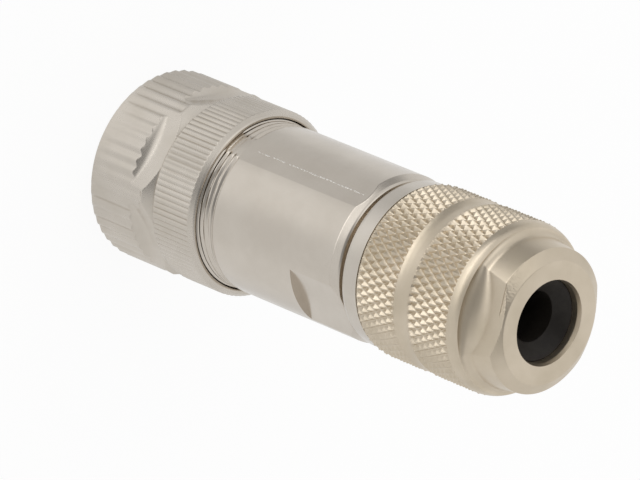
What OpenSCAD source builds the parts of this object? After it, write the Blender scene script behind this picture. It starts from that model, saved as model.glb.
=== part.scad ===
// Shielded field-wireable M12 cable socket, standing on its coupling nut.
// +Z runs along the connector's axis towards the cable end. All sizes in mm.

/* [Overall] */
// Overall length from the nut's front face to the gland nut's rear face
total_len = 56.4; // [50:0.1:64]

/* [Coupling nut] */
// Outside diameter over the coarse knurl
nut_d = 20; // [18:0.1:22]
// Length of the nut
nut_len = 8.9; // [8:0.1:12]
// Depth of the six flats below the knurl
nut_flat_depth = 1; // [0.5:0.05:1.6]
// Length of the six flats along the axis
nut_flat_len = 2.65; // [1.5:0.05:4]
// Teeth of the coarse knurl
nut_teeth = 50; // [30:1:72]
// Depth of the coarse knurl
nut_tooth_depth = 0.38; // [0.1:0.02:0.6]
// Turn of the nut's flats about the axis at rest
nut_turn = 26.5; // [0:0.5:60]
// Rear chamfer of the nut
nut_chamfer = 1.45; // [0.5:0.05:2]
// Major diameter of the coupling thread
thread_d = 12; // [11.5:0.1:12.5]
// Pitch of the coupling thread
thread_pitch = 1; // [0.75:0.25:1]

/* [Knurled ring] */
// How far the ring's knurl sits inside the nut's
ring_step = 0.15; // [0:0.05:0.5]
// Gap between the nut and the ring
ring_gap = 0.25; // [0.15:0.05:0.5]
// Length of the ring
ring_len = 6.05; // [4:0.05:8]
// Teeth of the fine knurl
ring_teeth = 102; // [60:1:140]
// Depth of the fine knurl
ring_tooth_depth = 0.24; // [0.1:0.02:0.4]
// Wall of the ring round its open mouth
ring_wall = 0.73; // [0.5:0.01:1.2]

/* [Housing] */
// Free space round the housing thread inside the ring's mouth
mouth_gap = 0.37; // [0.2:0.01:0.6]
// How far the smooth sleeve stands out over the thread crests
body_step = 0.06; // [0:0.01:0.3]
// Length of thread that shows behind the ring
thread_show = 2; // [0.5:0.1:3]
// Half angle of each parting-line flat
seam_half = 11; // [5:1:20]
// Depth of the wrench flats
body_flat_depth = 0.71; // [0.2:0.01:0.9]
// Length of the wrench flats
body_flat_len = 6.6; // [3:0.1:9]
// Pitch of the housing thread
body_pitch = 0.68; // [0.5:0.02:1]
// Wall of the housing
body_wall = 1.5; // [1.3:0.05:2]

/* [Gland adapter] */
// Gap between the housing and the collar
collar_gap = 0.65; // [0.3:0.05:1]
// Length of the collar
collar_len = 2.1; // [1:0.05:3]
// How far the collar sits inside the housing
collar_step = 0.11; // [0:0.01:0.4]
// Length of the adapter's rear thread
adapter_thread_len = 7.45; // [6:0.05:9]
// Wall of the adapter's threaded tube
adapter_wall = 1.65; // [1.2:0.05:2]

/* [Gland nut] */
// Length of the gland nut
gland_len = 18.15; // [17:0.05:20]
// How far the diamond knurl stands out over the housing
gland_step = 0.26; // [0:0.01:0.5]
// Diamonds round each knurled band
gland_diamonds = 60; // [40:1:80]
// Depth of the diamond knurl
gland_knurl_depth = 0.36; // [0.1:0.02:0.5]
// Half rows of diamonds in each band
gland_rows = 6; // [4:2:6]
// Axial length of one half row
gland_row = 0.86; // [0.6:0.02:0.9]
// Length of the concave groove between the bands
gland_groove = 2.4; // [1.5:0.1:2.6]
// Length of the tapered hexagon
gland_flat_len = 4; // [3:0.05:4.5]
// Width of the flat rear face round the bore
gland_face_w = 1.94; // [1:0.02:2.4]
// Taper of each flat from the axis
gland_taper = 17; // [10:0.5:30]
// Turn of the gland nut's flats about the axis at rest
gland_turn = 47.6; // [0:0.5:60]
// Diameter of the rear bore
gland_bore_d = 8.52; // [8:0.02:9]

/* [Cable seal] */
// Hole for the cable
seal_hole_d = 5.3; // [4:0.1:7]
// How far the seal sits below the gland nut's rear face
seal_recess = 1.1; // [0.5:0.1:2]
// Depth of the conical mouth
seal_mouth = 1.2; // [0.5:0.1:2]

/* [Contacts] */
// Pitch circle of the contacts
contact_pcd = 5; // [4.5:0.1:5.5]
// Bore of each socket
contact_bore = 1; // [0.8:0.1:1.2]
// Outside diameter of each socket
contact_d = 1.9; // [1.6:0.1:2]
// Width of the socket's spring slot
contact_slot = 0.25; // [0.15:0.05:0.4]
// Distance the carrier's face sits behind the nut's front face
face_recess = 0.8; // [0.3:0.1:1.5]

/* [Hidden] */
fine = 128;
low = 32;
eps = 0.01;
over = 0.08;
far = 30;
// clearances: running fit, fit of pieces that stay together, free gap between bodies
run = 0.06;
seat = 0.02;
apart = 0.3;
// coupling nut
nut_r = nut_d / 2;
nut_apothem = nut_r - nut_flat_depth;
nut_flat_z = nut_len - nut_flat_len;
nut_front_chamfer = 0.35;
nut_rear_r = nut_r - nut_chamfer;
thread_minor_r = thread_d / 2 - 0.5413 * thread_pitch;
nut_relief_r = thread_d / 2 + 0.1;
nut_wall_z = nut_len - 2.3;
nut_relief_z = nut_wall_z - 1.5;
// front sleeve
sleeve_flange_r = thread_minor_r - 0.1;
sleeve_r = sleeve_flange_r - 0.51;
sleeve_in_r = sleeve_r - 0.6;
sleeve_flange_end_z = nut_wall_z - apart;
sleeve_flange_z = sleeve_flange_end_z - 1.05;
// knurled ring
ring_r = nut_r - ring_step;
ring_z = nut_len + ring_gap;
ring_end_z = ring_z + ring_len;
ring_wall_z = ring_z + 1.25;
ring_mouth_r = ring_r - ring_wall;
ring_mouth_z = ring_end_z - 1.7;
// housing
body_crest_r = ring_mouth_r - mouth_gap;
body_r = body_crest_r + body_step;
body_root_r = body_crest_r - 0.42;
ring_thread_r = body_root_r + 0.12;
body_bore_r = body_r - body_wall;
body_z = ring_end_z + thread_show;
body_spigot_z = ring_wall_z + apart;
body_seam_x = body_r * cos(seam_half);
body_flat_y = body_r - body_flat_depth;
body_chamfer = 0.95;
body_chamfer_r = body_r - 0.42;
seal_groove_z = body_spigot_z + 0.7;
seal_groove_w = 1;
seal_groove_r = ring_thread_r - 0.5;
// gland nut, measured back from the rear face
gland_z = total_len - gland_len;
gland_r = body_r + gland_step;
gland_root_r = gland_r - gland_knurl_depth;
gland_core_r = gland_root_r - 0.08;
band1_z = gland_z + 0.1;
band_len = gland_rows * gland_row;
groove_z = band1_z + band_len;
band2_z = groove_z + gland_groove;
rim_z = band2_z + band_len;
rim_r = gland_r - 0.08;
gland_flat_z = max(total_len - gland_flat_len, rim_z + 0.6);
shoulder_z = max(rim_z + 0.25, gland_flat_z - 1);
shoulder_len = gland_flat_z - shoulder_z;
gland_bore_r = gland_bore_d / 2;
gland_face_r = gland_bore_r + gland_face_w;
flat_corner_r = gland_face_r + 1.2;
bore_edge = 0.12;
shoulder_r = rim_r - 0.47;
flat_corner_z = total_len - 1.1;
wall_r = gland_r - 1.97;
// gland adapter
collar_end_z = gland_z - 0.2;
collar_z = collar_end_z - collar_len;
collar_r = body_r - collar_step;
body_end_z = collar_z - collar_gap;
body_flat_z = body_end_z - body_flat_len;
adapter_seat_z = body_end_z - 5.3;
adapter_end_z = collar_end_z + adapter_thread_len;
adapter_r = body_bore_r - seat;
adapter_bore_r = adapter_r - adapter_wall;
gland_thread_r = adapter_r + 0.07;
adapter_thread_r = gland_thread_r - run;
// inside of the gland nut
gland_cavity_r = gland_thread_r - 0.41;
gland_cavity_z = adapter_end_z + apart;
gland_cone_z = gland_cavity_z + 4.4;
gland_cone_end_z = gland_cone_z + (gland_cavity_r - gland_bore_r) * 1.1;
// clamp cage and cable seal
cage_z = adapter_end_z - 3.3;
cage_seat_z = adapter_end_z + 0.02;
cage_flange_z = cage_seat_z + 0.9;
cage_flange_r = gland_cavity_r - 0.15;
cage_skirt_r = adapter_bore_r - run;
cage_r = gland_cavity_r - 0.6;
cage_tip_r = cage_r - 0.8;
cage_tip_z = gland_cone_z + 0.8;
cage_slots = 8;
seal_r = cage_skirt_r - 0.59;
cage_in_r = seal_r + seat;
seal_z = cage_z + 0.8;
seal_shoulder_z = cage_tip_z + 0.4;
seal_nose_r = gland_bore_r - run;
seal_nose_z = seal_shoulder_z + 1.5;
seal_end_z = total_len - seal_recess;
seal_hole_r = seal_hole_d / 2;
// carrier, contacts and terminals
contact_tail_len = 6.2;
block_len = 9.5;
carrier_r = sleeve_in_r - seat;
carrier_flange_r = body_bore_r - 0.35;
carrier_flange_end_z = ring_wall_z + 2;
key_r = 0.55;
contact_r = contact_d / 2;
contact_z = face_recess + 0.5;
contact_end_z = carrier_flange_end_z + contact_tail_len;
contact_tail_r = contact_r + 0.25;
contact_wire_r = contact_bore / 2 + 0.25;
block_r = carrier_flange_r;
block_end_z = carrier_flange_end_z + block_len;
wire_r = 0.85;
screw_z = contact_end_z - 1.6;
screw_r = 0.9;
screw_head_r = 1.25;
screw_in = contact_pcd / 2 + 0.95;
screw_out = block_r - 0.35;
shield_end_z = adapter_seat_z;
shield_z = block_end_z + 1;
shield_slot_len = 0.62 * (shield_end_z - shield_z);
oring_r = 0.52;

function kn(n, r_lo, r_hi, land) = [for (i = [0 : n - 1]) for (k = [0 : 2])
  let (t = 360 / n * (i + [0, 0.5 - land / 2, 0.5 + land / 2][k]), r = k == 0 ? r_lo : r_hi)
  [r * cos(t), r * sin(t)]];

module tube(r_out, r_in, z0, z1, f = fine) {
  difference() {
    translate([0, 0, z0]) cylinder(r = r_out, h = z1 - z0, $fn = f);
    translate([0, 0, z0 - 1]) cylinder(r = r_in, h = z1 - z0 + 2, $fn = f);
  }
}

module spin(pts, f = fine) {
  rotate_extrude($fn = f) polygon(pts);
}

// one band of raised diamonds: low points on the grooves, high points on the tips
module diamond_band(z0) {
  m = 2 * gland_diamonds;
  core = gland_core_r - 0.5;
  skin = [for (j = [0 : gland_rows]) for (i = [0 : m - 1])
    let (r = (i + j) % 2 == 0 ? gland_root_r : gland_r, t = 360 * i / m)
    [r * cos(t), r * sin(t), z0 + j * gland_row]];
  back = [for (j = [0, gland_rows]) for (i = [0 : m - 1])
    let (t = 360 * i / m)
    [core * cos(t), core * sin(t), z0 + j * gland_row]];
  o = len(skin);
  side = [for (j = [0 : gland_rows - 1]) for (i = [0 : m - 1])
    let (a = j * m + i, b = j * m + (i + 1) % m, c = (j + 1) * m + (i + 1) % m, d = (j + 1) * m + i)
    each ((i + j) % 2 == 0 ? [[a, c, b], [a, d, c]] : [[a, d, b], [b, d, c]])];
  low_end = [for (i = [0 : m - 1])
    let (a = i, b = (i + 1) % m, c = o + (i + 1) % m, d = o + i)
    each [[a, b, c], [a, c, d]]];
  high_end = [for (i = [0 : m - 1])
    let (a = gland_rows * m + i, b = gland_rows * m + (i + 1) % m, c = o + m + (i + 1) % m, d = o + m + i)
    each [[a, c, b], [a, d, c]]];
  inner = [for (i = [0 : m - 1])
    let (a = o + i, b = o + (i + 1) % m, c = o + m + (i + 1) % m, d = o + m + i)
    each [[a, b, c], [a, c, d]]];
  polyhedron(concat(skin, back), concat(side, low_end, high_end, inner));
}

module coupling_nut() {
  color("silver")
  rotate([0, 0, nut_turn]) difference() {
    intersection() {
      union() {
        linear_extrude(height = nut_flat_z) polygon(kn(nut_teeth, nut_r - nut_tooth_depth, nut_r + over, 0.16));
        translate([0, 0, nut_flat_z - eps]) intersection() {
          cylinder(r = nut_r + over, h = nut_len - nut_flat_z + eps, $fn = fine);
          rotate([0, 0, 30]) cylinder(r = nut_apothem / cos(30), h = nut_len - nut_flat_z + eps, $fn = 6);
        }
      }
      spin([[0, 0], [nut_r - nut_front_chamfer, 0], [nut_r, nut_front_chamfer], [nut_r, nut_len - nut_chamfer],
        [nut_rear_r, nut_len], [0, nut_len]]);
    }
    spin([[0, -1], [thread_minor_r + 1.4, -1], [thread_minor_r + 0.6, 0], [thread_minor_r, 0.6],
      [thread_minor_r, nut_relief_z], [nut_relief_r, nut_relief_z + 0.3], [nut_relief_r, nut_wall_z],
      [sleeve_r + run, nut_wall_z], [sleeve_r + run, nut_len + 1], [0, nut_len + 1]]);
  }
}

module knurled_ring() {
  color("silver")
  difference() {
    intersection() {
      translate([0, 0, ring_z]) linear_extrude(height = ring_end_z - ring_z)
        polygon(kn(ring_teeth, ring_r - ring_tooth_depth, ring_r + over / 2, 0.14));
      spin([[0, ring_z], [ring_r - 0.35, ring_z], [ring_r, ring_z + 0.35], [ring_r, ring_end_z - 0.55],
        [ring_r - 0.4, ring_end_z], [0, ring_end_z]]);
    }
    spin([[0, ring_z - 1], [sleeve_r + seat, ring_z - 1], [sleeve_r + seat, ring_wall_z],
      [ring_thread_r, ring_wall_z], [ring_thread_r, ring_mouth_z], [ring_mouth_r, ring_mouth_z + 0.5],
      [ring_mouth_r, ring_end_z + 1], [0, ring_end_z + 1]]);
  }
}

module front_sleeve() {
  color("silver")
  spin([[sleeve_in_r, sleeve_flange_z], [sleeve_flange_r - 0.15, sleeve_flange_z], [sleeve_flange_r, sleeve_flange_z + 0.15],
    [sleeve_flange_r, sleeve_flange_end_z], [sleeve_r, sleeve_flange_end_z], [sleeve_r, ring_wall_z],
    [sleeve_in_r, ring_wall_z]]);
}

module contact_carrier() {
  color([0.09, 0.09, 0.1])
  difference() {
    spin([[0, face_recess], [carrier_r - 0.35, face_recess], [carrier_r, face_recess + 0.35], [carrier_r, ring_wall_z],
      [carrier_flange_r, ring_wall_z], [carrier_flange_r, carrier_flange_end_z], [0, carrier_flange_end_z]]);
    // keyway of the A-coding
    translate([0, carrier_r, face_recess - 1]) cylinder(r = key_r, h = 1 + sleeve_flange_z - face_recess, $fn = low);
    for (i = [0 : 3]) rotate([0, 0, 45 + 90 * i]) translate([contact_pcd / 2, 0, 0]) {
      translate([0, 0, contact_z]) cylinder(r = contact_r + seat, h = carrier_flange_end_z, $fn = low);
      translate([0, 0, 0]) cylinder(r = contact_bore / 2 + 0.3, h = contact_z + 1, $fn = low);
    }
  }
}

module face_seal() {
  color([0.05, 0.05, 0.05])
  rotate_extrude($fn = fine) translate([carrier_r + seat + oring_r, sleeve_flange_z - oring_r]) circle(r = oring_r, $fn = low);
}

module socket_contact(i) {
  color("gold")
  rotate([0, 0, 45 + 90 * i]) translate([contact_pcd / 2, 0, 0]) difference() {
    union() {
      translate([0, 0, contact_z]) cylinder(r = contact_r, h = carrier_flange_end_z - contact_z, $fn = low);
      translate([0, 0, carrier_flange_end_z - eps]) cylinder(r = contact_tail_r, h = contact_end_z - carrier_flange_end_z, $fn = low);
    }
    translate([0, 0, contact_z - 1]) cylinder(r = contact_bore / 2, h = 8, $fn = low);
    // spring slot through the mouth of the socket
    translate([-contact_r - 1, -contact_slot / 2, contact_z - 1]) cube([2 * contact_r + 2, contact_slot, 4]);
    // wire hole in the tail and the clamp screw's hole through its side
    translate([0, 0, contact_end_z - 4.5]) cylinder(r = contact_wire_r, h = 8, $fn = low);
    translate([0, 0, screw_z]) rotate([0, 90, 0]) cylinder(r = screw_r + run, h = far, $fn = low);
  }
}
module socket_contact_1() { socket_contact(0); }
module socket_contact_2() { socket_contact(1); }
module socket_contact_3() { socket_contact(2); }
module socket_contact_4() { socket_contact(3); }

module terminal_block() {
  color([0.12, 0.12, 0.13])
  difference() {
    union() {
      translate([0, 0, carrier_flange_end_z]) cylinder(r = block_r, h = block_end_z - carrier_flange_end_z - 0.5, $fn = fine);
      translate([0, 0, block_end_z - 0.5 - eps]) cylinder(r1 = block_r, r2 = block_r - 0.5, h = 0.5 + eps, $fn = fine);
    }
    for (i = [0 : 3]) rotate([0, 0, 45 + 90 * i]) {
      translate([contact_pcd / 2, 0, 0]) {
        translate([0, 0, carrier_flange_end_z - 1]) cylinder(r = contact_tail_r + 0.1, h = contact_end_z - carrier_flange_end_z + 1.1, $fn = low);
        translate([0, 0, contact_end_z]) cylinder(r = wire_r, h = far, $fn = low);
        translate([0, 0, block_end_z - 0.6]) cylinder(r1 = wire_r, r2 = wire_r + 0.5, h = 0.61, $fn = low);
      }
      // radial hole of the clamp screw
      translate([screw_in - 0.3, 0, screw_z]) rotate([0, 90, 0]) cylinder(r = screw_r + run, h = far, $fn = low);
      translate([screw_out - 1.2, 0, screw_z]) rotate([0, 90, 0]) cylinder(r = screw_head_r + run, h = far, $fn = low);
    }
    // channels that part the four wires
    for (a = [0, 90]) rotate([0, 0, a]) translate([-block_r - 1, -0.4, block_end_z - 2.2]) cube([2 * block_r + 2, 0.8, 5]);
  }
}

module terminal_screw(i) {
  color([0.75, 0.75, 0.72])
  rotate([0, 0, 45 + 90 * i]) translate([0, 0, screw_z]) rotate([0, 90, 0]) difference() {
    union() {
      translate([0, 0, screw_in]) cylinder(r = screw_r, h = screw_out - screw_in, $fn = low);
      translate([0, 0, screw_out - 1.1]) cylinder(r = screw_head_r, h = 1.1, $fn = low);
    }
    translate([-0.2, -screw_head_r - 1, screw_out - 0.5]) cube([0.4, 2 * screw_head_r + 2, 2]);
  }
}
module terminal_screw_1() { terminal_screw(0); }
module terminal_screw_2() { terminal_screw(1); }
module terminal_screw_3() { terminal_screw(2); }
module terminal_screw_4() { terminal_screw(3); }

module housing_seal() {
  color([0.05, 0.05, 0.05])
  tube(ring_thread_r - run, seal_groove_r + run, seal_groove_z + 0.08, seal_groove_z + seal_groove_w - 0.08);
}

module housing() {
  crests = floor((body_z - 0.25 - ring_mouth_z - 0.3) / body_pitch);
  color("silver")
  difference() {
    union() {
      spin([[0, body_spigot_z], [ring_thread_r - run - 0.3, body_spigot_z], [ring_thread_r - run, body_spigot_z + 0.3],
        [ring_thread_r - run, seal_groove_z], [seal_groove_r, seal_groove_z], [seal_groove_r, seal_groove_z + seal_groove_w],
        [ring_thread_r - run, seal_groove_z + seal_groove_w], [ring_thread_r - run, ring_mouth_z - 0.1],
        [body_root_r, ring_mouth_z + 0.1], [body_root_r, body_z - 0.15], [body_r - 0.25, body_z - 0.1], [body_r, body_z + 0.15],
        [body_r, body_end_z - body_chamfer], [body_chamfer_r, body_end_z], [0, body_end_z]]);
      // thread crests behind the ring
      for (k = [0 : crests - 1])
        spin([[body_root_r - 0.1, body_z - 0.25 - k * body_pitch], [body_root_r, body_z - 0.25 - k * body_pitch],
          [body_crest_r, body_z - 0.25 - (k + 0.42) * body_pitch], [body_crest_r, body_z - 0.25 - (k + 0.58) * body_pitch],
          [body_root_r, body_z - 0.25 - (k + 1) * body_pitch], [body_root_r - 0.1, body_z - 0.25 - (k + 1) * body_pitch]]);
    }
    translate([0, 0, body_spigot_z - 1]) cylinder(r = body_bore_r, h = body_end_z, $fn = fine);
    // parting-line flats
    for (s = [0, 180]) rotate([0, 0, s]) translate([body_seam_x, -far / 2, ring_mouth_z]) cube([far, far, body_end_z]);
    // wrench flats
    for (s = [90, 270]) rotate([0, 0, s]) translate([body_flat_y, -far / 2, body_flat_z]) cube([far, far, body_end_z]);
  }
}

module shield_ring() {
  color([0.7, 0.6, 0.35])
  difference() {
    tube(body_bore_r - seat, body_bore_r - 0.6, shield_z, shield_end_z);
    for (i = [0 : 5]) rotate([0, 0, 60 * i]) translate([0, -0.4, shield_z - 1]) cube([far, 0.8, 1 + shield_slot_len]);
  }
}

module gland_adapter() {
  color("silver")
  spin([[adapter_bore_r, adapter_seat_z], [adapter_r - 0.3, adapter_seat_z], [adapter_r, adapter_seat_z + 0.3],
    [adapter_r, body_end_z + 0.1], [collar_r - 0.45, collar_z], [collar_r - 0.12, collar_z + 0.1],
    [collar_r, collar_z + 0.45], [collar_r, collar_end_z], [adapter_thread_r, collar_end_z],
    [adapter_thread_r, adapter_end_z - 0.4], [adapter_thread_r - 0.4, adapter_end_z],
    [adapter_bore_r, adapter_end_z]]);
}

module clamp_cage() {
  color([0.16, 0.16, 0.17])
  difference() {
    spin([[cage_in_r, cage_z], [cage_skirt_r - 0.2, cage_z], [cage_skirt_r, cage_z + 0.2], [cage_skirt_r, cage_seat_z],
      [cage_flange_r, cage_seat_z], [cage_flange_r, cage_flange_z], [cage_r, cage_flange_z],
      [cage_r, cage_tip_z - 1.2], [cage_tip_r, cage_tip_z], [cage_in_r, cage_tip_z]]);
    // slots between the clamping fingers
    for (i = [0 : cage_slots - 1]) rotate([0, 0, 360 / cage_slots * (i + 0.5)])
      translate([0, -0.45, cage_flange_z + 0.6]) cube([far, 0.9, far]);
  }
}

module cable_seal() {
  color([0.07, 0.07, 0.07])
  spin([[seal_hole_r, seal_z], [seal_r - 0.2, seal_z], [seal_r, seal_z + 0.2], [seal_r, seal_shoulder_z],
    [seal_nose_r, seal_nose_z], [seal_nose_r, seal_end_z], [seal_nose_r - 0.1, seal_end_z],
    [seal_hole_r, seal_end_z - seal_mouth]]);
}

module gland_nut() {
  color([0.78, 0.73, 0.63])
  rotate([0, 0, gland_turn]) difference() {
    union() {
      spin([[0, gland_z], [gland_core_r - 0.2, gland_z], [gland_core_r, band1_z], [gland_core_r, groove_z],
        [gland_r - 0.1, groove_z + 0.05], [gland_r - 0.24, groove_z + 0.5], [gland_r - 0.29, groove_z + gland_groove / 2],
        [gland_r - 0.24, band2_z - 0.5], [gland_r - 0.1, band2_z - 0.05], [gland_core_r, band2_z], [gland_core_r, rim_z - 0.1],
        [rim_r, rim_z + 0.15], [rim_r, shoulder_z], [rim_r - 0.07, shoulder_z + 0.35 * shoulder_len],
        [rim_r - 0.22, shoulder_z + 0.68 * shoulder_len], [shoulder_r, gland_flat_z], [shoulder_r - 0.15, gland_flat_z + 0.03],
        [wall_r + 0.85, gland_flat_z + 0.25], [wall_r + 0.4, gland_flat_z + 0.6], [wall_r + 0.1, gland_flat_z + 1.05],
        [wall_r - 0.05, gland_flat_z + 1.6], [0, gland_flat_z + 2.4]]);
      diamond_band(band1_z);
      diamond_band(band2_z);
      // tapered hexagon
      difference() {
        spin([[0, gland_flat_z - 0.5], [shoulder_r, gland_flat_z - 0.5], [shoulder_r, gland_flat_z + 0.2],
          [flat_corner_r, flat_corner_z], [gland_face_r, total_len], [0, total_len]]);
        for (i = [0 : 5]) rotate([0, 0, 60 * i]) translate([gland_face_r - 0.15, 0, total_len])
          rotate([0, -gland_taper, 0]) translate([0, -far / 2, -far / 2]) cube([far, far, far]);
      }
    }
    spin([[0, gland_z - 1], [gland_thread_r + 0.4, gland_z - 1], [gland_thread_r + 0.4, gland_z], [gland_thread_r, gland_z + 0.4],
      [gland_thread_r, gland_cavity_z], [gland_cavity_r, gland_cavity_z], [gland_cavity_r, gland_cone_z],
      [gland_bore_r, gland_cone_end_z], [gland_bore_r, total_len - bore_edge],
      [gland_bore_r + 1 + bore_edge, total_len + 1], [0, total_len + 1]]);
  }
}

coupling_nut();
knurled_ring();
front_sleeve();
contact_carrier();
face_seal();
socket_contact_1();
socket_contact_2();
socket_contact_3();
socket_contact_4();
terminal_block();
terminal_screw_1();
terminal_screw_2();
terminal_screw_3();
terminal_screw_4();
housing_seal();
housing();
shield_ring();
gland_adapter();
clamp_cage();
cable_seal();
gland_nut();
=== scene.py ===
import math

import bpy
import numpy as np
from mathutils import Matrix, Vector


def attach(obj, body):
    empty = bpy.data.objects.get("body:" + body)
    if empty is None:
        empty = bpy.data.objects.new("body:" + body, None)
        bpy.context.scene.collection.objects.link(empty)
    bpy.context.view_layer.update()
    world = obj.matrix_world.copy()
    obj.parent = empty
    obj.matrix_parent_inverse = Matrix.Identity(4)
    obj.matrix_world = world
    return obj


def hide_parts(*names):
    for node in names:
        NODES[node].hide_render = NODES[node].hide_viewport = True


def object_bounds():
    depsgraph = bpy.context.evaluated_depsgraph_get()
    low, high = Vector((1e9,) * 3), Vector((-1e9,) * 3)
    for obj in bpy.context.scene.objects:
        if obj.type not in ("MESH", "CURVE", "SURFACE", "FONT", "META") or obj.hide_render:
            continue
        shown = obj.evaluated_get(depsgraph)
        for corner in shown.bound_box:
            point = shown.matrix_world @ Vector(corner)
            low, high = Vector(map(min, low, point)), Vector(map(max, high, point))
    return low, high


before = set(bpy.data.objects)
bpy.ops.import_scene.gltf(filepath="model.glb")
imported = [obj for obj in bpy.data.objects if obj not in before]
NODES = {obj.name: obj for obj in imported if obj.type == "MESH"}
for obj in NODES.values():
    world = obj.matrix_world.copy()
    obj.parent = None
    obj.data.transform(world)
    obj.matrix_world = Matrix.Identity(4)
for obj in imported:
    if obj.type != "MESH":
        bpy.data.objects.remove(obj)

lo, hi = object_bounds()
TAU = 2 * math.pi
MM = 0.001
scene = bpy.context.scene

# ---------------------------------------------------------------- camera
# The photograph's view, fitted to the part's outline: angles in degrees, offsets and distance in mm.
CAMERA_AZIMUTH = 33.0
CAMERA_ELEVATION = 42.33
CAMERA_ROLL = 112.55
CAMERA_RIGHT = -3.1
CAMERA_UP = 0.12
CAMERA_DISTANCE = 798.7
CAMERA_LENS = 450
CAMERA_SENSOR = 36


def place_camera():
    azimuth, elevation = math.radians(CAMERA_AZIMUTH), math.radians(CAMERA_ELEVATION)
    back = Vector((math.cos(elevation) * math.cos(azimuth), math.cos(elevation) * math.sin(azimuth),
                   math.sin(elevation)))
    upright = (Vector((0, 0, 1)) - back * back.z).normalized()
    up = Matrix.Rotation(math.radians(CAMERA_ROLL), 3, back) @ upright
    right = up.cross(back)
    target = (lo + hi) / 2 + right * CAMERA_RIGHT * MM + up * CAMERA_UP * MM
    data = bpy.data.cameras.new("camera")
    data.lens = CAMERA_LENS
    data.sensor_width = CAMERA_SENSOR
    data.clip_start = 0.05
    data.clip_end = 20
    camera = bpy.data.objects.new("camera", data)
    scene.collection.objects.link(camera)
    place = Matrix((right, up, back)).transposed().to_4x4()
    place.translation = target + back * CAMERA_DISTANCE * MM
    camera.matrix_world = place
    scene.camera = camera


# ---------------------------------------------------------------- node graphs
class Graph:
    """Short calls for the nodes of a material or a world."""

    def __init__(self, tree):
        self.tree = tree

    def add(self, kind, **values):
        node = self.tree.nodes.new(kind)
        for key, value in values.items():
            setattr(node, key, value)
        return node

    def link(self, a, b):
        self.tree.links.new(a, b)

    def put(self, socket, value):
        if isinstance(value, bpy.types.NodeSocket):
            self.link(value, socket)
        else:
            socket.default_value = value

    def span(self, value, a, b, c, d, curve="LINEAR"):
        """The value's range from a to b, brought to the range from c to d."""
        node = self.add("ShaderNodeMapRange", interpolation_type=curve)
        self.link(value, node.inputs["Value"])
        for key, number in zip(("From Min", "From Max", "To Min", "To Max"), (a, b, c, d)):
            node.inputs[key].default_value = number
        return node.outputs["Result"]

    def math(self, kind, a, b):
        node = self.add("ShaderNodeMath", operation=kind)
        self.put(node.inputs[0], a)
        self.put(node.inputs[1], b)
        return node.outputs[0]

    def vector(self, kind, a, b=None):
        node = self.add("ShaderNodeVectorMath", operation=kind)
        self.link(a, node.inputs[0])
        if b is not None:
            node.inputs[1].default_value = b
        return node

    def blend(self, factor, first, second):
        """First shader where the factor is 0, second where it is 1."""
        node = self.add("ShaderNodeMixShader")
        for socket, value in zip(node.inputs, (factor, first, second)):
            self.link(value, socket)
        return node.outputs[0]

    def glow(self, kind, strength):
        """White light from an emission or background shader."""
        node = self.add(kind)
        node.inputs["Color"].default_value = (1.0, 1.0, 1.0, 1.0)
        self.put(node.inputs["Strength"], strength)
        return node.outputs[0]

    def lobe(self, direction, towards, start, end, amount):
        """Amount inside a soft lobe of directions round one direction, nothing outside."""
        dot = self.vector("DOT_PRODUCT", direction, Vector(towards).normalized())
        return self.span(dot.outputs["Value"], start, end, 0.0, amount, "SMOOTHSTEP")

    def total(self, first, parts):
        """A number plus all the given outputs."""
        value = first
        for part in parts:
            value = self.math("ADD", part, value)
        return value


class Surface(Graph):
    """A material with a Principled shader."""

    def __init__(self, name):
        self.mat = bpy.data.materials.new(name)
        self.mat.use_nodes = True
        super().__init__(self.mat.node_tree)
        self.bsdf = self.tree.nodes["Principled BSDF"]
        self.coords = self.add("ShaderNodeTexCoord").outputs["Object"]

    def scaled(self, *scale):
        node = self.add("ShaderNodeMapping")
        self.link(self.coords, node.inputs["Vector"])
        node.inputs["Scale"].default_value = scale
        return node.outputs["Vector"]

    def noise(self, scale, detail, rough=0.5, vector=None):
        node = self.add("ShaderNodeTexNoise")
        self.link(vector or self.coords, node.inputs["Vector"])
        node.inputs["Scale"].default_value = scale
        node.inputs["Detail"].default_value = detail
        node.inputs["Roughness"].default_value = rough
        return node.outputs["Fac"]

    def mix(self, factor, tint, shade):
        node = self.add("ShaderNodeMix", data_type="RGBA")
        self.link(factor, node.inputs["Factor"])
        # sockets 6 and 7 are the two colours
        node.inputs[6].default_value = (*tint, 1.0)
        node.inputs[7].default_value = (*shade, 1.0)
        return node.outputs[2]

    def bump(self, height, distance, strength, normal=None):
        node = self.add("ShaderNodeBump")
        node.inputs["Distance"].default_value = distance
        node.inputs["Strength"].default_value = strength
        self.link(height, node.inputs["Height"])
        if normal is not None:
            self.link(normal, node.inputs["Normal"])
        return node.outputs["Normal"]

    def patchy(self, patches, tint, shade):
        """Two close tints in soft patches."""
        colour = self.mix(self.span(patches, 0.35, 0.65, 0.0, 1.0), tint, shade)
        self.link(colour, self.bsdf.inputs["Base Color"])


# ---------------------------------------------------------------- materials
# Noise scales are per metre, and depths of the bumps in m.
METAL_PATCH_SCALE = 260.0
METAL_GRAIN_SCALE = 9000.0
METAL_MARK_DEPTH = 0.004 * MM
TURNED_SCALES = (60.0, 60.0, 9000.0)
AXIAL_SCALES = (7000.0, 7000.0, 160.0)
BLOTCH = 0.15
PLASTIC_PATCH_SCALE = 400.0
PLASTIC_GRAIN_SCALE = 5000.0
PLASTIC_GRAIN_DEPTH = 0.01 * MM


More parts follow.
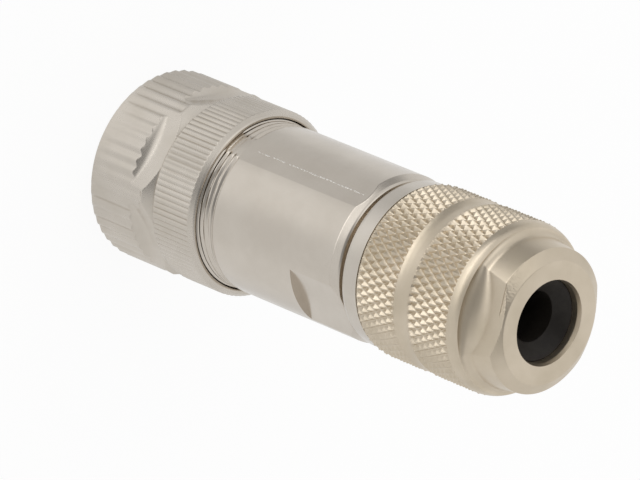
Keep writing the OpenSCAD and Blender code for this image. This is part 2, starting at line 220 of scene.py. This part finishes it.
def metal(name, tint, shade, rough, turned=0.0, axial=0.0, grain=0.3):
    """Plated metal: two close tints in soft patches, uneven roughness, tool marks and a fine grain."""
    s = Surface(name)
    patches = s.noise(METAL_PATCH_SCALE, 4.0, 0.55)
    s.patchy(patches, tint, shade)
    s.bsdf.inputs["Metallic"].default_value = 1.0
    rings = s.noise(1.0, 3.0, 0.6, s.scaled(*TURNED_SCALES))
    fine = s.noise(METAL_GRAIN_SCALE, 2.0, 0.6)
    r = s.span(patches, 0.3, 0.7, rough * (1 - BLOTCH), rough * (1 + BLOTCH))
    r = s.math("ADD", r, s.span(rings, 0.3, 0.7, -0.03 * turned, 0.05 * turned))
    r = s.math("ADD", r, s.span(fine, 0.3, 0.7, -0.02, 0.02 + 0.04 * grain))
    s.link(r, s.bsdf.inputs["Roughness"])
    normal = s.bump(fine, METAL_MARK_DEPTH, grain)
    if turned:
        normal = s.bump(rings, METAL_MARK_DEPTH, turned, normal)
    if axial:
        lines = s.noise(1.0, 3.0, 0.6, s.scaled(*AXIAL_SCALES))
        normal = s.bump(lines, METAL_MARK_DEPTH, axial, normal)
    s.link(normal, s.bsdf.inputs["Normal"])
    return s.mat


def plastic(name, tint, shade, rough, grain=0.5, specular=0.5):
    """Dark moulded plastic or rubber with a fine texture and uneven gloss."""
    s = Surface(name)
    s.patchy(s.noise(PLASTIC_PATCH_SCALE, 4.0, 0.6), tint, shade)
    fine = s.noise(PLASTIC_GRAIN_SCALE, 3.0, 0.6)
    s.link(s.span(fine, 0.3, 0.7, rough - 0.08, rough + 0.08), s.bsdf.inputs["Roughness"])
    s.link(s.bump(fine, PLASTIC_GRAIN_DEPTH, grain), s.bsdf.inputs["Normal"])
    s.bsdf.inputs["Specular IOR Level"].default_value = specular
    return s.mat


NICKEL, NICKEL_SHADE = (0.66, 0.61, 0.545), (0.62, 0.57, 0.50)
NICKEL_NUT = metal("nut_nickel", NICKEL, NICKEL_SHADE, 0.30, grain=0.5)
NICKEL_RING = metal("ring_nickel", NICKEL, NICKEL_SHADE, 0.28, grain=0.4)
NICKEL_BODY = metal("housing_nickel", (0.665, 0.61, 0.54), (0.63, 0.575, 0.505), 0.20, turned=0.5, grain=0.25)
NICKEL_COLLAR = metal("collar_nickel", (0.67, 0.62, 0.555), (0.63, 0.58, 0.51), 0.18, turned=1.0, grain=0.2)
NICKEL_GLAND = metal("gland_nickel", (0.69, 0.60, 0.475), (0.64, 0.555, 0.43), 0.34, grain=0.6)
NICKEL_PLAIN = metal("plain_nickel", NICKEL, NICKEL_SHADE, 0.22, turned=1.0, grain=0.2)
GOLD = metal("contact_gold", (0.86, 0.62, 0.26), (0.80, 0.56, 0.22), 0.22, turned=0.6, grain=0.2)
STEEL = metal("screw_steel", (0.55, 0.55, 0.54), (0.48, 0.48, 0.47), 0.30, turned=0.4, grain=0.4)
BRASS = metal("shield_brass", (0.66, 0.57, 0.38), (0.60, 0.51, 0.33), 0.30, axial=0.6, grain=0.4)
BURR = metal("parting_burr", (0.90, 0.87, 0.82), (0.80, 0.77, 0.72), 0.42, grain=0.1)
BLACK = plastic("carrier_black", (0.018, 0.018, 0.019), (0.026, 0.026, 0.028), 0.45)
BLOCK = plastic("block_black", (0.022, 0.022, 0.023), (0.032, 0.032, 0.034), 0.50)
CAGE = plastic("cage_plastic", (0.03, 0.03, 0.031), (0.04, 0.04, 0.042), 0.45)
RUBBER = plastic("seal_rubber", (0.012, 0.012, 0.012), (0.02, 0.02, 0.02), 0.55)
SEAL = plastic("cable_seal_rubber", (0.016, 0.013, 0.011), (0.030, 0.026, 0.022), 0.5, grain=0.8, specular=0.22)

FINISH = {
    "coupling_nut": NICKEL_NUT, "knurled_ring": NICKEL_RING, "front_sleeve": NICKEL_PLAIN,
    "contact_carrier": BLACK, "face_seal": RUBBER, "terminal_block": BLOCK, "housing_seal": RUBBER,
    "housing": NICKEL_BODY, "shield_ring": BRASS, "gland_adapter": NICKEL_COLLAR, "clamp_cage": CAGE,
    "cable_seal": SEAL, "gland_nut": NICKEL_GLAND,
}
for i in range(1, 5):
    FINISH[f"socket_contact_{i}"] = GOLD
    FINISH[f"terminal_screw_{i}"] = STEEL


def finish_solids():
    for name, node in NODES.items():
        if not node.material_slots:
            node.data.materials.append(FINISH[name])
        for slot in node.material_slots:
            slot.material = FINISH[name]


# ---------------------------------------------------------------- forms
# Finer skins for the knurled, threaded and milled pieces. Sizes in mm, as in the solids they stand for:
# outer radii and end heights come from these solids in model.glb, and most other heights are measured from these.
RANDOM = np.random.default_rng(12)
# the housing's and the gland nut's skins stand this little over their solids
PROUD = 0.003
# a radius that never limits anything
NO_LIMIT = 99.0


def reach(name):
    """Outer radius, foot and top of a CAD node."""
    node = NODES[name]
    points = np.array([node.matrix_world @ v.co for v in node.data.vertices]) / MM
    sizes = np.hypot(points[:, 0], points[:, 1]).max(), points[:, 2].min(), points[:, 2].max()
    return [round(float(size), 3) for size in sizes]


def soft_min(a, b, k):
    h = np.clip(0.5 + 0.5 * (b - a) / k, 0.0, 1.0)
    return b + (a - b) * h - k * h * (1 - h)


def ramp(x, a, b):
    t = np.clip((x - a) / (b - a), 0.0, 1.0)
    return t * t * (3 - 2 * t)


def around(count):
    """Directions of evenly spread columns."""
    return np.arange(count) / count * TAU


def apart_from(theta, degrees):
    """Angle in radians from one direction, -pi to pi."""
    return (theta - math.radians(degrees) + math.pi) % TAU - math.pi


def off_axis(theta, degrees):
    """Angle in radians to the nearer of one direction and its opposite."""
    return np.minimum(np.abs(apart_from(theta, degrees)), np.abs(apart_from(theta, degrees + 180)))


def flat_r(side, plane):
    """Radius of a flat, from the angle to its middle and its distance from the axis."""
    return np.where(side < 1.3, plane / np.cos(np.minimum(side, 1.3)), NO_LIMIT)


def shoulder(base, edge, run, slope):
    """Radius behind a crisp edge, whose wall runs out into the base through a fillet, longer where it is deeper."""
    deep = np.maximum(edge - base, 1e-6)
    long = 0.2 + slope * deep
    fillet = (long ** 2 + deep ** 2) / (2 * deep)
    left = np.maximum(long - run, 0.0)
    return base + np.minimum(fillet - np.sqrt(np.maximum(fillet ** 2 - left ** 2, 0.0)), deep)


def profile(points, z):
    """Radius at a height, on a line through (radius, height) points."""
    r, heights = zip(*points)
    return np.interp(z, heights, r)


def stepped(*stops):
    """Heights from stop to stop: (start, count, end, count, ...)."""
    values = []
    for a, count, b in zip(stops[0::2], stops[1::2], stops[2::2]):
        values += list(np.linspace(a, b, count, endpoint=False))
    return np.array(values + [stops[-1]])


def knurl(theta, teeth, groove, uneven):
    """Depth of a straight knurl's grooves, 0 on the crests and about 1 in the grooves."""
    t = (theta / TAU * teeth + 0.5) % teeth
    u = t % 1.0 - 0.5
    share = 1 + uneven * RANDOM.uniform(-1, 1, teeth)[np.floor(t).astype(int) % teeth]
    return np.exp(-(u / groove) ** 2) * share


def diamonds(theta, z, foot, count, row):
    """Height of four-sided knurl pyramids, 0 in the grooves and almost 1 on the tips."""
    keen = 0.001
    u = (theta / TAU * count * 2) % 2.0 - 1.0
    v = (z - foot) / row
    best = np.full_like(theta, -1.0)
    for j in range(-1, 8):
        shift = 0.0 if j % 2 else 1.0
        du = np.abs((u - shift + 1.0) % 2.0 - 1.0)
        best = np.maximum(best, 1.0 - np.sqrt(du ** 2 + keen) - np.sqrt((v - j) ** 2 + keen))
    return np.clip(best * 1.08 + 0.02, 0.0, 0.97)


def ring_faces(pts):
    """Triangles of closed rings joined in a loop, each quad split along its lower diagonal."""
    rows, cols = pts.shape[:2]
    i = np.arange(rows)[:, None]
    j = np.arange(cols)[None, :]
    here, after = i * cols, (i + 1) % rows * cols
    corners = here + j, here + (j + 1) % cols, after + (j + 1) % cols, after + j
    a, b, c, d = (k.ravel() for k in np.broadcast_arrays(*corners))
    radius = np.hypot(pts[..., 0], pts[..., 1]).ravel()
    low = (radius[a] + radius[c] < radius[b] + radius[d])[:, None]
    first = np.where(low, np.stack((a, b, c), -1), np.stack((a, b, d), -1))
    second = np.where(low, np.stack((a, c, d), -1), np.stack((b, c, d), -1))
    return np.concatenate((first, second)).tolist()


def add_piece(name, points, faces, material):
    """A smooth mesh in the scene, from points in mm."""
    mesh = bpy.data.meshes.new(name)
    mesh.from_pydata((np.array(points) * MM).tolist(), [], faces)
    mesh.materials.append(material)
    mesh.shade_smooth()
    obj = bpy.data.objects.new(name, mesh)
    scene.collection.objects.link(obj)
    return obj


def skin(node, body, theta, rows, sharp=32.0):
    """A closed skin from rings of points: each row is (radius, height), both a number or one per column."""
    pts = np.zeros((len(rows), len(theta), 3))
    for i, (r, z) in enumerate(rows):
        pts[i, :, 0] = r * np.cos(theta)
        pts[i, :, 1] = r * np.sin(theta)
        pts[i, :, 2] = z
    obj = add_piece(f"{node}_skin", pts.reshape(-1, 3), ring_faces(pts), FINISH[node])
    obj.data.set_sharp_from_angle(angle=math.radians(sharp))
    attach(obj, body)
    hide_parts(node)


# ---------------------------------------------------------------- skins
def make_nut():
    """Coupling nut: coarse knurl, six milled flats behind it, rear chamfer and inner thread."""
    nut_r, foot, end = reach("coupling_nut")
    teeth, tooth_depth, turn = 50, 0.24, math.radians(26.5)
    front_chamfer = 0.35
    apothem, wall_z, sides = nut_r - 1.0, end - 2.9, 6
    chamfer_z, chamfer_slope = end - 1.0, 0.98
    edge_drop, edge_run = 0.09, 0.11
    neck_r, neck_z, relief_r, relief_z = 4.909, 6.6, 6.1, 5.4
    minor_r, thread_depth, pitch, thread_end = 5.459, 0.54, 1.0, 5.25

    theta = around(teeth * 12)
    grooves = tooth_depth * knurl(theta - turn, teeth, 0.3, 0.25)
    step = TAU / sides
    side = np.abs((theta - turn + step / 2) % step - step / 2)
    flats = flat_r(side, apothem)
    rows = []
    for z in stepped(foot, 5, front_chamfer, 8, wall_z, 1, wall_z + 0.005, 3, wall_z + 0.05, 32, end - 1.1, 4,
                     end - 0.9, 10, end - 0.15, 5, end):
        r = nut_r - grooves * (1 - ramp(z, end - 1.5, end - 1.05))
        if z < front_chamfer:
            r = soft_min(r, nut_r - (front_chamfer - z), 0.06)
        if z > wall_z:
            r = soft_min(r, shoulder(flats, nut_r, z - wall_z, 1.5), 0.01)
        r = soft_min(r, nut_r - chamfer_slope * (z - chamfer_z), 0.02)
        r = r - edge_drop * ramp(z, end - edge_run, end)
        rows.append((r, z))
    rows += [(8.2, end), (4.95, end), (neck_r, end - 0.05), (neck_r, neck_z), (relief_r, neck_z),
             (relief_r, relief_z)]
    for z in stepped(thread_end, 50, front_chamfer):
        turns = (z / pitch + theta / TAU) % 1.0
        flank = np.clip(1.35 * (1 - np.abs(2 * turns - 1)) - 0.12, 0.0, 1.0)
        r = minor_r + thread_depth * flank * ramp(z, 0.0, 0.8)
        lead_in = 6.05 - z if z < 0.6 else 0.0
        rows.append((np.maximum(r, lead_in), z))
    rows += [(6.059, foot), (7.5, foot), (9.2, foot)]
    skin("coupling_nut", "nut", theta, rows)


def make_ring():
    """Knurled ring: fine knurl between two chamfers, and the turned mouth round the housing's thread."""
    ring_r, foot, end = reach("knurled_ring")
    teeth, tooth_depth = 102, 0.14
    front_chamfer, front_slope = 0.36, 0.9
    rear_chamfer, rear_slope = 0.62, 0.72
    edge_drop, edge_run = 0.08, 0.12
    mouth_r, mouth_z, thread_r, thread_z, wall_z, neck_r = 9.03, 14.0, 8.45, 13.5, 10.4, 4.869

    theta = around(teeth * 8)
    grooves = tooth_depth * knurl(theta, teeth, 0.24, 0.18)
    rows = []
    for z in stepped(foot, 6, foot + 0.4, 6, end - 0.85, 14, end - 0.2, 6, end):
        r = ring_r - grooves * (1 - ramp(z, end - 0.75, end - 0.35))
        r = soft_min(r, ring_r - front_chamfer + front_slope * (z - foot), 0.06)
        r = soft_min(r, ring_r - rear_slope * (z - (end - rear_chamfer)), 0.04)
        r = r - edge_drop * ramp(z, end - edge_run, end)
        rows.append((r, z))
    rows += [(9.2, end), (mouth_r + 0.06, end - 0.04), (mouth_r, end - 0.12), (mouth_r, mouth_z),
             (thread_r, thread_z), (thread_r, wall_z), (neck_r, wall_z), (neck_r, foot), (7.0, foot), (9.3, foot)]
    skin("knurled_ring", "head", theta, rows)


# distance of the housing's parting-line flats from the axis
SEAM_PLANE = 8.651


def make_housing():
    """Housing: front thread with a plain window at each parting flat, smooth body, wrench flats, rear chamfer."""
    body_r, foot, end = reach("housing")
    body_r += PROUD
    body_z, wrench_z, wrench_plane = 17.05, 28.7, 8.103
    spigot_r, seal_root, root, crest, pitch = 8.39, 7.95, 8.33, 8.75, 0.68
    thread_z, thread_end = 13.9, 17.0
    # the lip in front of the body drops off towards the thread
    lip_z, lip_run, lip_drop, lip_step = 17.38, 0.33, 0.27, 0.14
    chamfer_z, chamfer_slope = end - 0.92, 0.47
    edge_drop, edge_run = 0.1, 0.12
    bore_r = 7.31 + PROUD
    seam_edges, wrench_edges = (8.0, 10.9, 11.0, 11.1, 12.5), (23.1, 23.2, 23.3)
    plain = [(8.9, 13.6), (8.88, 14.9), (8.7, 15.35), (8.63, 15.9), (8.62, body_z)]
    roots = [(8.92, thread_z), (8.9, 15.0), (8.56, 15.2), (8.54, body_z)]

    # even columns, and a few more where the flats end
    extra = [math.radians(k + s * d) for k in (0, 180) for s in (-1, 1) for d in seam_edges]
    extra += [math.radians(k + s * d) for k in (90, 270) for s in (-1, 1) for d in wrench_edges]
    theta = np.unique(np.round(np.concatenate([around(540), np.array(extra) % TAU]), 9))
    seam = off_axis(theta, 0)
    seam_flat = flat_r(seam, SEAM_PLANE)
    wrench_flat = flat_r(off_axis(theta, 90), wrench_plane)
    window = ramp(seam, math.radians(6.0), math.radians(13.0))

    rows = [(8.1, foot), (spigot_r, 11.0), (spigot_r, 11.4), (seal_root, 11.4), (seal_root, 12.4),
            (spigot_r, 12.4), (spigot_r, 13.4), (root, 13.6)]
    for z in stepped(14.0, 72, 17.02):
        turns = ((z - 16.95) / pitch - theta / TAU) % 1.0
        flank = np.clip(1.5 * (1 - np.abs(2 * turns - 1)) - 0.18, 0.0, 1.0)
        flank = flank * ramp(z, thread_z, 14.5) * (1 - ramp(z, 16.85, thread_end))
        low = profile(roots, z)
        rows.append((low + (profile(plain, z) - low) * (1 - window) + max(crest - low, 0.0) * flank * window, z))
    for z in stepped(body_z, 5, 17.4, 5, 28.55, 2, 28.69, 1, wrench_z, 10, 34.3, 10, 34.6, 8, end):
        r = body_r + 0 * theta
        before = lip_z - z
        if before > 0:
            drop = lip_drop * (before / lip_run) ** 2 + lip_step * (z < 17.1)
            r = r - drop * (0.1 + 0.9 * window)
        r = soft_min(r, seam_flat, 0.004)
        if z >= wrench_z:
            r = soft_min(r, wrench_flat, 0.004)
        r = soft_min(r, body_r - chamfer_slope * (z - chamfer_z), 0.03)
        r = r - edge_drop * ramp(z, end - edge_run, end)
        rows.append((r, z))
    rows += [(7.6, end), (bore_r, end - 0.25), (bore_r, foot)]
    skin("housing", "sleeve", theta, rows, 24.0)


def make_parting_lines():
    """Rows of tiny cast beads down the middle of the housing's two parting-line flats."""
    first_z, last_z, share, corners = 18.6, 34.0, 0.78, 6
    sunk = SEAM_PLANE - 0.006
    points, faces = [], []
    for side in (1, -1):
        z = first_z
        while z < last_z:
            size = 0.038 + 0.075 * RANDOM.random() ** 2
            y = 0.03 * math.sin(z * 1.7) + 0.02 * RANDOM.normal()
            if RANDOM.random() < share:
                start = len(points)
                points.append((side * (SEAM_PLANE + 0.55 * size), y, z))
                for k in range(corners):
                    a = TAU * k / corners
                    points.append((side * sunk, y + size * math.cos(a), z + 1.5 * size * math.sin(a)))
                for k in range(corners):
                    faces.append((start, start + 1 + k, start + 1 + (k + 1) % corners)[::side])
            z += 0.07 + 0.16 * RANDOM.random()
    obj = add_piece("parting_lines", points, faces, BURR)
    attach(obj, "sleeve")


def make_gland():
    """Gland nut: two diamond bands, a concave groove, and a turned, stepped rear end with two wrench flats."""
    top, foot, end = reach("gland_nut")
    top += PROUD
    count, row, band_rows, depth = 60, 0.86, 6, 0.4
    groove_len, turn, flat_plane = 2.4, 47.6, 6.52
    root, rim = top - depth, top - 0.08
    band1 = foot + 0.1
    groove_z = band1 + band_rows * row
    band2 = groove_z + groove_len
    rim_z = band2 + band_rows * row
    edge_r, edge_z, chamfer_z = 8.56, end - 4.05, end - 0.76
    face_z, thread_r, seat_r, seat_z, bore_r = foot - 0.18, 7.36, 6.95, 46.3, 4.26
    # the groove, and the rear end before and behind its edge
    groove = [(top - 0.02, groove_z), (top - 0.2, groove_z + 0.5), (top - 0.29, groove_z + 1.2),
              (top - 0.2, band2 - 0.45), (top - 0.02, band2)]
    blank = [(root, rim_z), (rim, rim_z + 0.12), (rim - 0.02, 51.2), (rim - 0.05, 51.45), (rim - 0.13, 51.8),
             (rim - 0.24, 52.06), (edge_r, edge_z)]
    turned = [(7.9, edge_z), (7.5, chamfer_z), (6.35, end)]
    # a burr line and a rough cut on the rear chamfer, beside one flat
    worn_at, burr_depth, burr_width, rough_depth, rough_rows = 19, 0.08, 0.035, 0.012, 60

    theta = around(count * 10)
    spin = theta - math.radians(turn)
    flats = flat_r(off_axis(theta, turn), flat_plane)
    rough = RANDOM.normal(0, 1, (rough_rows, len(theta)))
    beside = apart_from(theta, worn_at)
    worn = ramp(beside, -0.5, -0.1) * (1 - ramp(beside, 0.35, 0.5))
    rows = [(8.3, face_z), (8.62, face_z + 0.01)]
    heights = stepped(band1, 30, groove_z, 10, band2, 30, rim_z, 3, 51.45, 8, edge_z, 1, edge_z + 0.01, 4,
                      edge_z + 0.1, 22, 54.3, 6, chamfer_z - 0.1, 8, chamfer_z + 0.1, 9, end - 0.04, 2, end)
    for k, z in enumerate(heights):
        if z <= groove_z:
            r = root + depth * diamonds(spin, z, band1, count, row)
            r = soft_min(r, top - 0.25 + 1.2 * (z - band1), 0.05)
        elif z < band2:
            r = profile(groove, z) + 0 * theta
        elif z <= rim_z:
            r = root + depth * diamonds(spin, z, band2, count, row)
        else:
            r = profile(blank, z) + 0 * theta
            if z > edge_z:
                base = soft_min(profile(turned, z), flats, 0.01)
                r = shoulder(base, edge_r - 0.06, z - edge_z, 0.95)
            r = r - burr_depth * worn * math.exp(-((z - chamfer_z) / burr_width) ** 2)
            if z > chamfer_z:
                r = r + rough_depth * worn * rough[k % rough_rows] * (z < end - 0.1)
        rows.append((r, z))
    last = rows[-1][0]
    rows[-1] = (last - 0.03, end)
    rows += [(last - 0.12, end), (bore_r + 0.2, end), (bore_r + 0.17, end - 0.02), (bore_r + 0.02, end - 0.4),
             (bore_r, end - 0.46), (bore_r, end - 2.55), (seat_r, end - 5.5), (seat_r, seat_z), (thread_r, seat_z),
             (thread_r, foot + 0.4), (thread_r + 0.4, face_z)]
    skin("gland_nut", "gland", theta, rows, 28.0)


# ---------------------------------------------------------------- floor and light
# Pools of light on the floor, seen only in the metal: azimuth, cosines where each starts and is full, strength.
POOL_BASE = 0.84
POOLS = [(-35, 0.72, 0.97, -0.17), (12, 0.75, 0.98, 0.12), (63, 0.80, 0.98, -0.05), (172, 0.80, 0.98, -0.06),
         (-150, 0.6, 0.95, 0.08)]
# Pools that only begin some way off: distances in m where each starts and is full, then as above.
FAR_POOLS = [(0.12, 0.32, 8, 0.68, 0.88, 1.6), (0.06, 0.085, -40, 0.70, 0.96, -0.34),
             (0.06, 0.085, 10, 0.90, 0.99, 0.22)]
# The tent of light over the part: direction, cosines where each lobe starts and is full, strength.
TENT_BASE = 0.78
TENT = [((0.55, 0.45, 0.70), 0.82, 0.97, -0.45), ((-0.12, 0.05, 1.0), 0.78, 0.94, -0.42),
        ((0.98, 0.14, -0.05), 0.80, 0.99, 0.4), ((-0.62, -0.40, 0.67), 0.7, 0.97, 0.10),
        ((0.42, -0.26, 0.87), 0.88, 0.985, 0.40)]
FLOOR_WHITE = 1.05
FLOOR_WHITE_SHARE = 0.86
POOL_SHARE = 0.9
FLOOR_HALF = 3000.0
FLOOR_STEPS = 24


def level(degrees):
    """Level direction at an azimuth."""
    return math.cos(math.radians(degrees)), math.sin(math.radians(degrees)), 0.0


def floor_material():
    """White for the camera, with the part's soft shadow, and pools of light for what the metal reflects."""
    s = Surface("floor")
    s.link(s.mix(s.noise(3.0, 2.0), (0.86, 0.86, 0.86), (0.88, 0.88, 0.88)), s.bsdf.inputs["Base Color"])
    s.bsdf.inputs["Roughness"].default_value = 0.9
    s.bsdf.inputs["Specular IOR Level"].default_value = 0.1
    path = s.add("ShaderNodeLightPath")
    white = s.glow("ShaderNodeEmission", FLOOR_WHITE)
    seen = s.blend(s.math("MULTIPLY", path.outputs["Is Camera Ray"], FLOOR_WHITE_SHARE), s.bsdf.outputs[0], white)
    flat = s.vector("MULTIPLY", s.coords, (1.0, 1.0, 0.0)).outputs[0]
    unit = s.vector("NORMALIZE", flat).outputs[0]
    far = s.vector("LENGTH", s.coords).outputs["Value"]
    parts = [s.lobe(unit, level(degrees), *shape) for degrees, *shape in POOLS]
    for near, off, degrees, *shape in FAR_POOLS:
        away = s.span(far, near, off, 0.0, 1.0, "SMOOTHSTEP")
        parts.append(s.math("MULTIPLY", away, s.lobe(unit, level(degrees), *shape)))
    pools = s.glow("ShaderNodeEmission", s.total(POOL_BASE, parts))
    both = s.blend(s.math("MULTIPLY", path.outputs["Is Glossy Ray"], POOL_SHARE), seen, pools)
    s.link(both, s.tree.nodes["Material Output"].inputs["Surface"])
    return s.mat


def make_floor():
    side = FLOOR_STEPS + 1
    across = [FLOOR_HALF * (2 * i / FLOOR_STEPS - 1) for i in range(side)]
    points = [(x, y, 0.0) for y in across for x in across]
    corners = [j * side + i for j in range(FLOOR_STEPS) for i in range(FLOOR_STEPS)]
    faces = [(k, k + 1, k + side + 1, k + side) for k in corners]
    obj = add_piece("floor", points, faces, floor_material())


def make_world():
    """A soft tent of light, seen as plain white by the camera."""
    world = bpy.data.worlds.new("studio")
    scene.world = world
    world.use_nodes = True
    world.node_tree.nodes.clear()
    g = Graph(world.node_tree)
    direction = g.add("ShaderNodeTexCoord").outputs["Generated"]
    soft = g.glow("ShaderNodeBackground", g.total(TENT_BASE, [g.lobe(direction, *shape) for shape in TENT]))
    white = g.glow("ShaderNodeBackground", 1.0)
    seen = g.blend(g.add("ShaderNodeLightPath").outputs["Is Camera Ray"], soft, white)
    g.link(seen, g.add("ShaderNodeOutputWorld").inputs["Surface"])


place_camera()
finish_solids()
make_nut()
make_ring()
make_parting_lines()
make_housing()
make_gland()
make_floor()
make_world()
scene.view_settings.view_transform = "Standard"
